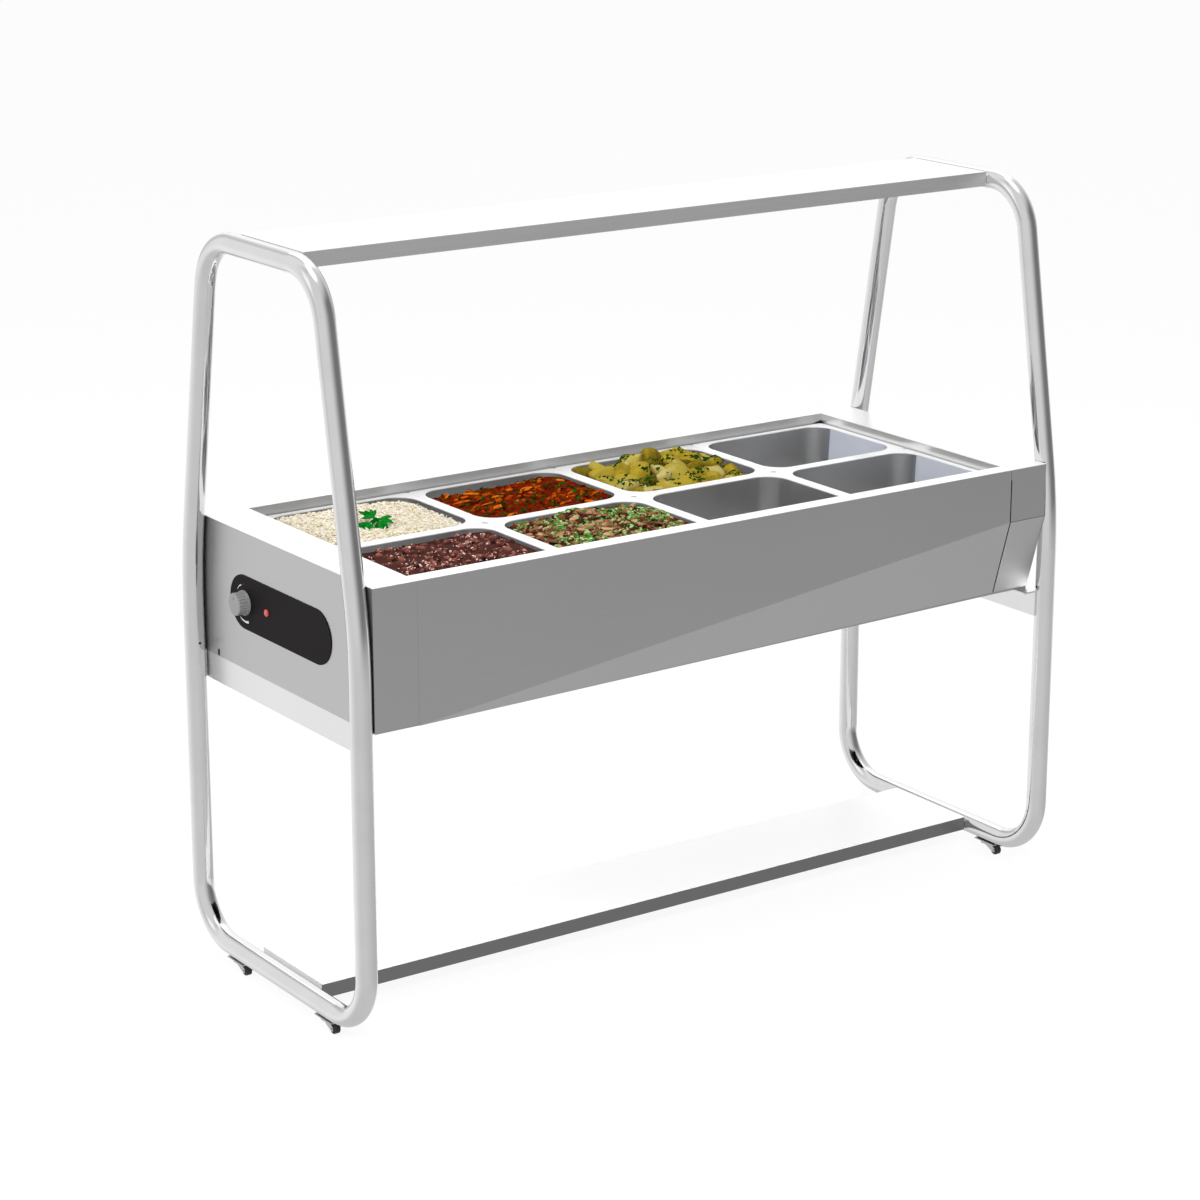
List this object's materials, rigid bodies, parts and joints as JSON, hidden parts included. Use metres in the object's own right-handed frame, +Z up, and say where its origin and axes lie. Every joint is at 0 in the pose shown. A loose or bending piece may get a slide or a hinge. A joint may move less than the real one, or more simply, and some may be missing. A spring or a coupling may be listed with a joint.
{
  "type": "hot buffet counter",
  "caption": "Heated buffet counter on castors: bain-marie body with lift-out pans, hung between bent-tube hoops with a roof shelf, a lower shelf and a thermostat knob.",
  "frame": {"origin": "on the floor under the middle of the counter", "axes": "+Z up, +X along the counter from the control end, -Y towards the guests"},
  "size_m": [1.558, 0.619, 1.3586],
  "materials": {
    "hoop_tube": "polished tube",
    "rail_steel": "satin sheet",
    "shelf_steel": "satin sheet",
    "panel_steel": "brushed along the length",
    "end_steel": "brushed sheet",
    "deck_steel": "satin sheet",
    "tank_steel": "plain sheet",
    "pan_steel": "deep drawn, satin",
    "screw_steel": "plated",
    "castor_steel": "zinc plated",
    "castor_tread": "dark rubber",
    "washer_rubber": "black rubber",
    "control_black": "satin black printed plate",
    "knob_grey": "moulded, lightly grained",
    "lamp_red": "translucent red lens",
    "terminal_plastic": "moulded",
    "gland_black": "moulded",
    "wire_sleeve": "silicone sleeve",
    "element_sheath": "heat tinted",
    "insulation_wool": "mineral wool",
    "capillary_copper": "copper",
    "valve_brass": "turned brass",
    "lever_steel": "red dipped lever",
    "food_rice": "cooked rice",
    "food_tomato_stew": "tomato stew",
    "food_potato": "boiled potatoes",
    "food_beans": "glossy dark beans",
    "food_herb_meat": "browned meat with herbs"
  },
  "bodies": {
    "counter": {"left_hoop": "hoop_tube", "right_hoop": "hoop_tube", "left_cross_rail": "rail_steel", "right_cross_rail": "rail_steel", "roof_shelf": "shelf_steel", "lower_shelf": "shelf_steel", "frame_screws": "screw_steel", "tube_inserts": "screw_steel", "body_washers": "washer_rubber", "castor_plates": "castor_steel", "top_deck": "deck_steel", "front_panel": "panel_steel", "front_left_corner_panel": "panel_steel", "front_right_corner_panel": "panel_steel", "rear_panel": "panel_steel", "left_end_panel": "end_steel", "right_end_panel": "end_steel", "base_panel": "panel_steel", "water_tank": "tank_steel", "pan_support_grid": "tank_steel", "tank_insulation": "insulation_wool", "heating_element": "element_sheath", "element_clamps": "screw_steel", "thermostat_body": "terminal_plastic", "thermostat_bulb": "capillary_copper", "control_plate": "control_black", "pilot_lamp_lens": "lamp_red", "pilot_lamp_body": "terminal_plastic", "terminal_block": "terminal_plastic", "cable_gland": "gland_black", "internal_wiring": "wire_sleeve", "drain_pipe": "tank_steel", "drain_valve": "valve_brass"},
    "knob": {"control_knob": "knob_grey", "thermostat_shaft": "screw_steel"},
    "drain_handle": {"drain_lever": "lever_steel"},
    "pan_front_1_set": {"pan_front_1": "pan_steel", "bean_dish": "food_beans"},
    "pan_front_2_set": {"pan_front_2": "pan_steel", "herb_meat_dish": "food_herb_meat"},
    "pan_front_3_set": {"pan_front_3": "pan_steel"},
    "pan_front_4_set": {"pan_front_4": "pan_steel"},
    "pan_rear_1_set": {"pan_rear_1": "pan_steel", "rice_dish": "food_rice"},
    "pan_rear_2_set": {"pan_rear_2": "pan_steel", "tomato_stew_dish": "food_tomato_stew"},
    "pan_rear_3_set": {"pan_rear_3": "pan_steel", "potato_dish": "food_potato"},
    "pan_rear_4_set": {"pan_rear_4": "pan_steel"},
    "swivel_front_left": {"castor_fork_front_left": "castor_steel"},
    "wheel_front_left": {"castor_wheel_front_left": "castor_tread"},
    "swivel_front_right": {"castor_fork_front_right": "castor_steel"},
    "wheel_front_right": {"castor_wheel_front_right": "castor_tread"},
    "swivel_rear_left": {"castor_fork_rear_left": "castor_steel"},
    "wheel_rear_left": {"castor_wheel_rear_left": "castor_tread"},
    "swivel_rear_right": {"castor_fork_rear_right": "castor_steel"},
    "wheel_rear_right": {"castor_wheel_rear_right": "castor_tread"}
  },
  "joints": [
    {"name": "knob_turn", "type": "hinge", "parent": "counter", "child": "knob", "pos_m": [-0.742, 0.131, 0.7], "axis": [1, 0, 0], "range_deg": [0, 270]},
    {"name": "drain_turn", "type": "hinge", "parent": "counter", "child": "drain_handle", "pos_m": [0.52, 0.074, 0.538], "axis": [0, 1, 0], "range_deg": [0, 90]},
    {"name": "pan_front_1_lift", "type": "slide", "parent": "counter", "child": "pan_front_1_set", "axis": [0, 0, 1], "range_m": [0, 0.15]},
    {"name": "pan_front_2_lift", "type": "slide", "parent": "counter", "child": "pan_front_2_set", "axis": [0, 0, 1], "range_m": [0, 0.15]},
    {"name": "pan_front_3_lift", "type": "slide", "parent": "counter", "child": "pan_front_3_set", "axis": [0, 0, 1], "range_m": [0, 0.15]},
    {"name": "pan_front_4_lift", "type": "slide", "parent": "counter", "child": "pan_front_4_set", "axis": [0, 0, 1], "range_m": [0, 0.15]},
    {"name": "pan_rear_1_lift", "type": "slide", "parent": "counter", "child": "pan_rear_1_set", "axis": [0, 0, 1], "range_m": [0, 0.15]},
    {"name": "pan_rear_2_lift", "type": "slide", "parent": "counter", "child": "pan_rear_2_set", "axis": [0, 0, 1], "range_m": [0, 0.15]},
    {"name": "pan_rear_3_lift", "type": "slide", "parent": "counter", "child": "pan_rear_3_set", "axis": [0, 0, 1], "range_m": [0, 0.15]},
    {"name": "pan_rear_4_lift", "type": "slide", "parent": "counter", "child": "pan_rear_4_set", "axis": [0, 0, 1], "range_m": [0, 0.15]},
    {"name": "castor_swivel_front_left", "type": "hinge", "parent": "counter", "child": "swivel_front_left", "pos_m": [-0.76, -0.157, 0.0205], "axis": [0, 0, 1], "continuous": true},
    {"name": "castor_roll_front_left", "type": "hinge", "parent": "swivel_front_left", "child": "wheel_front_left", "pos_m": [-0.76, -0.18, 0.00985], "axis": [1, 0, 0], "continuous": true},
    {"name": "castor_swivel_front_right", "type": "hinge", "parent": "counter", "child": "swivel_front_right", "pos_m": [0.76, -0.157, 0.0205], "axis": [0, 0, 1], "continuous": true},
    {"name": "castor_roll_front_right", "type": "hinge", "parent": "swivel_front_right", "child": "wheel_front_right", "pos_m": [0.76, -0.18, 0.00985], "axis": [1, 0, 0], "continuous": true},
    {"name": "castor_swivel_rear_left", "type": "hinge", "parent": "counter", "child": "swivel_rear_left", "pos_m": [-0.76, 0.157, 0.0205], "axis": [0, 0, 1], "continuous": true},
    {"name": "castor_roll_rear_left", "type": "hinge", "parent": "swivel_rear_left", "child": "wheel_rear_left", "pos_m": [-0.76, 0.134, 0.00985], "axis": [1, 0, 0], "continuous": true},
    {"name": "castor_swivel_rear_right", "type": "hinge", "parent": "counter", "child": "swivel_rear_right", "pos_m": [0.76, 0.157, 0.0205], "axis": [0, 0, 1], "continuous": true},
    {"name": "castor_roll_rear_right", "type": "hinge", "parent": "swivel_rear_right", "child": "wheel_rear_right", "pos_m": [0.76, 0.134, 0.00985], "axis": [1, 0, 0], "continuous": true}
  ]
}
